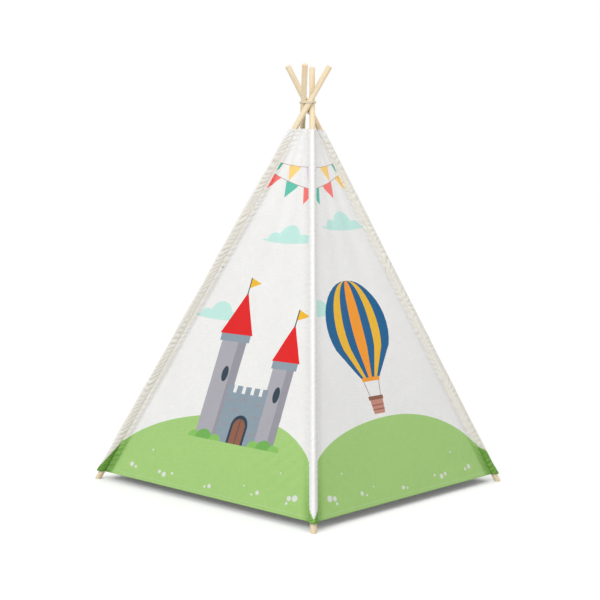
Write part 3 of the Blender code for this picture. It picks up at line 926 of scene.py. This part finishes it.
def canvas(name, seen_through):
    """Plain-woven cotton. The print is on the outside, and only this share of it shows through inside."""
    made, tree, shader = finish_of(
        name, 0.9, Sheen_Weight=0.12, Sheen_Roughness=0.5, Specular_IOR_Level=0.3
    )
    thread = node(tree, "ShaderNodeUVMap", uv_map="cloth").outputs[0]
    colour = node(tree, "ShaderNodeAttribute", attribute_name="print").outputs["Color"]
    shade = node(tree, "ShaderNodeAttribute", attribute_name="shade").outputs["Fac"]
    waves = {"Vector": thread, "Scale": 300.0, "Distortion": 0.6, "Detail": 1.0}
    warp, weft = (
        node(tree, "ShaderNodeTexWave", waves, bands_direction=axis).outputs["Fac"] for axis in ("X", "Y")
    )
    along, across = (
        mottled(tree, scaled(tree, thread, drawn), 420.0, 2.0) for drawn in ((1, 0.06, 1), (0.06, 1, 1))
    )
    slubs = combined(tree, "ADD", along, across)
    uneven = ranged(tree, slubs, (0.7, 1.3), (0.93, 1.03))
    worn = ranged(tree, mottled(tree, thread, 6.0, 4.0), wanted=(0.97, 1.03))
    # The shade attribute is painted light and shade, and it scales the colour here
    light = combined(tree, "MULTIPLY", combined(tree, "MULTIPLY", uneven, worn), shade)
    if seen_through < 1:
        colour = mixed(tree, seen_through, CANVAS_WHITE, colour)
    depth = ranged(tree, shade, (1.0, 0.5), (1.0, 2.4))  # a colour in painted shade is also a fuller one
    fuller = node(tree, "ShaderNodeGamma", {"Color": colour, "Gamma": depth}).outputs[0]
    final = node(tree, "ShaderNodeVectorMath", {0: fuller, "Scale": light}, operation="SCALE").outputs[0]
    weave = bumped(tree, combined(tree, "ADD", warp, weft), 0.25, 0.0002)
    tree.links.new(final, shader.inputs["Base Color"])
    tree.links.new(bumped(tree, slubs, 0.3, 0.0004, Normal=weave), shader.inputs["Normal"])
    return made


def seam_shade(wall, x, y):
    """Painted light and shade by a seam: grey behind the lap, dark where bunched below, light in its groove.
    """
    edge = max(0, half_width(y) - abs(x))
    corner = (wall + (x > 0)) % 4
    lap_edge = LAP + (LAP_AT_TOP - LAP) * clamped(y / WALL_LENGTH)
    behind = bell(edge - lap_edge - LAP_SHADE_REACH[0], LAP_SHADE_REACH[1]) * min(1, half_width(y) / NARROW)
    low = bell(y, FOOT_SHADE_REACH[1], 4)
    groove = GROOVE_LIGHT * bell(edge, GROOVE_REACH) * (1 - low)
    foot = FOOT_SHADES[corner] * bell(edge, FOOT_SHADE_REACH[0]) * low
    ruffle = ruffled(corner, y, edge) / RUFFLE_DEPTHS[corner]
    return 1 + groove - LAP_SHADES[corner] * behind - foot + RUFFLE_SHADES[corner] * ruffle


def hang(bm, place, shade_at):
    """Keeps each point's flat place for the weave, its painted light and shade, and moves it to where it
    hangs.
    """
    uv = bm.loops.layers.uv.new("cloth")
    shade = bm.verts.layers.float.new("shade")
    for face in bm.faces:
        for loop in face.loops:
            loop[uv].uv = loop.vert.co.xy
    for vert in bm.verts:
        vert[shade] = shade_at(vert.co.x, vert.co.y)
        vert.co = place(vert.co.x, vert.co.y)


def cloth_piece(name, bm):
    """Gives the cloth its thickness, half to each side. Its inner face is the unprinted one."""
    piece = add_piece(f"{name}_cloth", bm, [canvas_finish, canvas_inside], math.pi)
    thick = piece.modifiers.new("cloth_thickness", "SOLIDIFY")
    thick.thickness = CLOTH
    thick.offset = 0
    thick.material_offset = 1
    return piece


def stitches(start, end):
    """A row of stitches on the flat cloth, each a short rounded bar on its outer face."""
    bm = bmesh.new()
    start, end = Vector((*start, 0)), Vector((*end, 0))
    count = max(1, round((end - start).length / STITCH_PITCH))
    turn = Matrix.Rotation(math.atan2(end.y - start.y, end.x - start.x), 4, "Z")
    for i in range(count):
        middle = start.lerp(end, (i + 0.5) / count)
        shape = Matrix.Translation(middle) @ turn @ Matrix.Diagonal((*STITCH, 1))
        for vert in bmesh.ops.create_cube(bm, size=1, matrix=shape)["verts"]:
            if vert.co.z > 0:
                vert.co = middle + (vert.co - middle) * STITCH_TOP
    for vert in bm.verts:
        vert.co.z += CLOTH / 2
    return bm


def sew(name, rows, place, hold):
    """Makes each row of stitches a piece that lies on the cloth and is held like it."""
    for number, (start, end) in enumerate(rows):
        bm = stitches(start, end)
        for vert in bm.verts:
            vert.co = place(*vert.co)
        seam = add_piece(f"{name}_stitches_{number}", bm, [thread_finish])
        hold(seam)


def hang_between(piece, wall):
    """Lets cloth turn with its two poles by its place between them, so that it closes like a fan."""
    first, second = CORNERS[wall], CORNERS[(wall + 1) % 4]
    start, end = seam_point(wall, 0, HEM_HEIGHT), seam_point(wall, 1, HEM_HEIGHT)
    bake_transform(piece, first, second, start=start, end=end)
    weights = piece.data.attributes["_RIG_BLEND"].data
    for vert, weight in zip(piece.data.vertices, weights):
        start, end = seam_point(wall, 0, vert.co.z), seam_point(wall, 1, vert.co.z)
        weight.value = clamped((vert.co - start).dot(end - start) / (end - start).length_squared)


canvas_finish, canvas_inside = canvas("printed_canvas", 1), canvas("canvas_inside", 0.3)
thread_finish, thread_tree, thread_shader = finish_of("sewing_thread", 0.7, Sheen_Weight=0.2)
thread_place = node(thread_tree, "ShaderNodeTexCoord").outputs["Object"]
thread_waves = {"Vector": thread_place, "Scale": 900.0, "Distortion": 2.0}
thread_twist = node(thread_tree, "ShaderNodeTexWave", thread_waves, bands_direction="DIAGONAL").outputs["Fac"]
thread_colour = mixed(thread_tree, thread_twist, THREAD_PALE, THREAD_SHADE)
thread_tree.links.new(thread_colour, thread_shader.inputs["Base Color"])
for wall_name, wall in (("right_panel", 0), ("left_panel", 2), ("front_panel", 3)):
    foot, top = half_width(-HEM), half_width(CUT_TOP)
    bm = flat_cloth(-HEM, CUT_TOP, (-foot, -top), (foot, top))
    split(bm, FOOT_BENDS + TOP_BENDS, (-1, 1))
    print_wall(bm, wall)
    place, hold = functools.partial(on_wall, wall), functools.partial(hang_between, wall=wall)
    hang(bm, place, functools.partial(seam_shade, wall))
    panel = cloth_piece(wall_name, bm)
    hold(panel)
    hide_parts(wall_name)
    rows = []
    for y in (HEM_STITCH, WALL_LENGTH - HEM_STITCH):
        rows.append([(-half_width(y) + ROW_END, y), (half_width(y) - ROW_END, y)])
    for sign in (-1, 1):
        ends = ((ROW_END, LAP), (WALL_LENGTH - ROW_END, LAP_AT_TOP))
        rows.append([(sign * (half_width(y) - inset), y) for y, inset in ends])
    sew(wall_name, rows, place, hold)


# The door header: the whole top of the back wall, above the door, hemmed along its lower edge.
# It is one piece of cloth, made here as two halves that meet edge to edge, so that each moves with its pole.
DOOR_HEIGHT = 0.985
DOOR_Y = (DOOR_HEIGHT - HEM_HEIGHT) / math.cos(WALL_LEAN)
DOOR_SIDES = (("right", -1, 1), ("left", 1, 2))  # the name, the side of the flat cloth and the corner
HEADER_STITCH = 0.012
SEAM_STITCH = 0.003  # from a seam to the stitches along it


def half_cloth(sign, low, high, inner, bends):
    """The printed flat cloth of one half of the back wall, from its seam to this near its middle line."""
    sides = ((sign * half_width(low), sign * half_width(high)), (sign * inner, sign * inner))
    bm = flat_cloth(low, high, sides[sign > 0], sides[sign < 0])
    split(bm, bends, (sign,))
    print_wall(bm, DOOR_WALL)
    return bm


def seam_row(sign, low, high):
    return [(sign * (half_width(y) - SEAM_STITCH), y) for y in (low, high)]


def ride_and_gather(piece, body, corner, low):
    """Puts a piece of the back wall on a body, with a mesh of its own.

    Its far edge is the wall's middle line, which stays halfway between the two poles. It keeps that place
    The height where the piece ends below is not used.
    """
    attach(piece, body)
    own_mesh(piece)


on_back_wall = functools.partial(on_wall, DOOR_WALL)
back_shade = functools.partial(seam_shade, DOOR_WALL)
for side_name, sign, corner in DOOR_SIDES:
    bm = half_cloth(sign, DOOR_Y, CUT_TOP, 0, TOP_BENDS)
    bm.edges.index_update()
    middle = [edge.index for edge in bm.edges if all(abs(vert.co.x) < CLOSE for vert in edge.verts)]
    hang(bm, on_back_wall, back_shade)
    half = cloth_piece(f"door_header_{side_name}", bm)
    for index in middle:
        half.data.edges[index].use_edge_sharp = True
    hold = functools.partial(ride_and_gather, body=f"back_{side_name}", corner=corner, low=DOOR_HEIGHT)
    hold(half)
    if side_name == "right":
        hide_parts("door_header")
    rows = []
    for y in (DOOR_Y + HEADER_STITCH, WALL_LENGTH - HEM_STITCH):
        rows.append([(sign * (half_width(y) - ROW_END), y), (0, y)])
    rows.append(seam_row(sign, DOOR_Y + ROW_END, WALL_LENGTH - ROW_END))
    sew(f"door_header_{side_name}", rows, on_back_wall, hold)


# The door flaps: two loose panels that hang side by side under the header and meet at the slit in the middle.
# Each is sewn to its sleeve along its outer side only, and swings out from there.
DOOR_GAP = 0.0015
DOOR_SLIT = 0.006
FLAP_TOP = DOOR_Y - DOOR_GAP
FLAP_FOLDS = 2.5
FLAP_FOLD_DEPTH = 0.009
FLAP_ROW_ENDS = (0.008, 0.014)  # of its hem's stitches, from the seam and from the wall's middle line


def on_flap(x, y, out=0.0):
    """Where a point of a flap's flat cloth hangs, in soft upright folds that open towards the hem."""
    half = half_width(y)
    share = clamped((half - abs(x)) / (half - DOOR_SLIT / 2))
    fold = math.sin(math.pi * share) * math.cos(2 * math.pi * FLAP_FOLDS * share)
    up = clamped(y / DOOR_Y)
    return on_wall(DOOR_WALL, x, y, out + FLAP_FOLD_DEPTH * fold * (1 - 0.9 * up))


for side_name, sign, corner in DOOR_SIDES:
    flap_name = f"door_flap_{side_name}"
    bm = half_cloth(sign, -HEM, FLAP_TOP, DOOR_SLIT / 2, FOOT_BENDS)
    hang(bm, on_flap, back_shade)
    flap = cloth_piece(flap_name, bm)
    hold = functools.partial(ride_and_gather, body=flap_name, corner=corner, low=HEM_HEIGHT)
    hold(flap)
    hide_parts(flap_name)
    outer, inner = sign * (HALF_FOOT - FLAP_ROW_ENDS[0]), sign * FLAP_ROW_ENDS[1]
    stitched_top = FLAP_TOP - SEAM_STITCH
    flap_rows = (
        ((outer, HEM_STITCH), (inner, HEM_STITCH)),
        ((inner, ROW_END), (inner, stitched_top)),
        seam_row(sign, ROW_END, stitched_top),
    )
    sew(flap_name, flap_rows, on_flap, hold)


# The sleeves: a tube of plain canvas round each pole, from the hem to the top of the cover.
# Its slack stands out as a crease on the outer side, and its foot is bunched in the green cloth of the walls.
SLEEVE_RADIUS = 0.0137
SLEEVE_REACH = math.pi * SLEEVE_RADIUS
SLEEVE_TOP = COVER_TOP - 0.002
SLEEVE_BAND = (0.05, 0.035)  # half the width and the height of its top, which is as white as the walls, without painted shade
SLEEVE_CELL = (0.0023, 0.0045)
SLEEVE_SLACK = (0.0055, 0.0020, 0.0050, 0.0060)  # how far the crease stands out, at each corner
SLEEVE_RIM_HIGHLIGHT = 0.17  # the painted highlight along the crease
SLEEVE_GROOVE_HIGHLIGHT = 0.12  # and the painted highlight in the grooves beside the seams
SLEEVE_HOLLOW_SHADES = (0.03, 0.12, 0.14, 0.16)  # the painted shade in the little folds, at each corner
SLEEVE_TURNED_SHADES = (0.09, 0, 0, 0)  # and the painted shade on the side that is turned away from the front lamp
BUNCH_HEIGHT = 0.055
BUNCH_DEPTH = 0.0035
BUNCH_PITCH = 0.010
BUNCH_SIDE = 0.72  # how far round the green's top reaches its full height, as a share of the half turn
BUNCH_TURN = 2.26  # the same, in radians
BUNCH_TOPS = (
    # How high the green reaches at each corner: on its left at the seam, at the crease, and on its right
    (0.095, 0.045, 0.095),
    (0.139, 0.118, 0.140),
    (0.140, 0.080, 0.140),
    (0.142, 0.044, 0.142),
)


def sleeve_folds(corner, x, y):
    """The little slanting folds of a sleeve, between -1 and 1, which die out towards its seams."""
    turn = x / SLEEVE_RADIUS
    free = clamped((2.3 - abs(turn)) / 0.5) * min(1, 0.25 + abs(turn) / 0.7)
    wander = rough(y * 14, turn * 0.5, corner * 2.9 + 9)
    strength = 0.75 + 1.1 * rough(y * 12, turn * 0.3, corner * 6.1)
    return free * strength * pucker(y / COS / RUFFLE_PITCH - 0.36 * turn + 1.1 * wander)


def on_sleeve(corner, x, y):
    """Where a point of a sleeve's flat cloth lies, x round the pole from its outer side and y the height."""
    turn = x / SLEEVE_RADIUS
    wander = rough(y * 14, turn * 0.5, corner * 2.9 + 9)
    slack = SLEEVE_SLACK[corner] * (1 + 0.5 * rough(y * 11, corner * 5.1, 0.7))
    low = max(0, 1 - max(0, y - HEM_HEIGHT) / BUNCH_HEIGHT)
    flank = math.acos(SLEEVE_RADIUS / (SLEEVE_RADIUS + slack * (1 - 0.5 * low)))
    radius = SLEEVE_RADIUS / math.cos(max(0, flank - math.hypot(turn, 0.05)))
    radius += RUFFLE_DEPTHS[corner] * sleeve_folds(corner, x, y)
    bunched = low * low * (3 - 2 * low) * BUNCH_DEPTH * (0.5 + 0.5 * math.cos(min(abs(turn), math.pi) * 0.9))
    gather = 0.5 * bunched * math.sin(2 * math.pi * (y / COS / BUNCH_PITCH + 0.4 * turn + wander))
    high = max(0, 1 - (COVER_TOP - y) / 0.05)
    radius += bunched + gather + 0.0012 * high * math.sin(5 * turn + 2 * wander)
    angle = turn - math.pi / 2
    return pole_frame(corner) @ at_height(radius * math.cos(angle), radius * math.sin(angle), y)


def sleeve_shade(corner, x, y):
    """Painted light along the crease and seam grooves, and painted shade in its folds, turned side and foot.
    """
    turn = x / SLEEVE_RADIUS
    rim = SLEEVE_RIM_HIGHLIGHT * max(0, 1 - abs(turn) / 0.7)
    groove = SLEEVE_GROOVE_HIGHLIGHT * bell(abs(turn) - 2.2, 0.5)
    hollow = SLEEVE_HOLLOW_SHADES[corner] * (0.5 - 0.5 * sleeve_folds(corner, x, y))
    turned = SLEEVE_TURNED_SHADES[corner] * clamped(turn / 0.5) * clamped((2.1 - turn) / 0.4)
    left, crease, right = BUNCH_TOPS[corner]
    top = crease + ((right if turn > 0 else left) - crease) * min(1, abs(turn) / BUNCH_TURN)
    green = clamped((top - y) / 0.025 + 0.6)
    gather = 0.5 + 0.5 * math.sin(2 * math.pi * (y / COS / BUNCH_PITCH + 0.4 * turn))
    bunched = FOOT_SHADES[corner] - 0.07 + 0.16 * gather
    return 1 + (rim + groove) * (1 - green) - hollow - turned - green * bunched


for corner, corner_name in enumerate(CORNERS):
    sides = (-SLEEVE_REACH, -SLEEVE_REACH), (SLEEVE_REACH, SLEEVE_REACH)
    # Each sleeve starts in its corner's cloth, painted shade included, and its top is printed white again
    bm = flat_cloth(HEM_HEIGHT, SLEEVE_TOP, *sides, SLEEVE_CELL, SLEEVE_CLOTHS_WITH_SHADE[corner])
    bins = patches(bm)
    wide, deep = SLEEVE_BAND
    print_on(bm, bins, block(-wide, COVER_TOP - deep, wide, COVER_TOP), CANVAS_WHITE)
    left_top, crease_top, right_top = BUNCH_TOPS[corner]
    for sign, top in ((-1, left_top), (1, right_top)):
        reach = sign * SLEEVE_REACH
        foot, upper = [(0, HEM_HEIGHT), (reach, HEM_HEIGHT)], [(reach, top), (BUNCH_SIDE * reach, top)]
        print_on(bm, bins, (foot + upper + [(0, crease_top)])[::sign], MEADOW)
    hang(bm, functools.partial(on_sleeve, corner), functools.partial(sleeve_shade, corner))
    bmesh.ops.remove_doubles(bm, verts=bm.verts, dist=CLOSE)
    sleeve = cloth_piece(f"sleeve_{corner_name}", bm)
    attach(sleeve, corner_name)
    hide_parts(f"sleeve_{corner_name}")
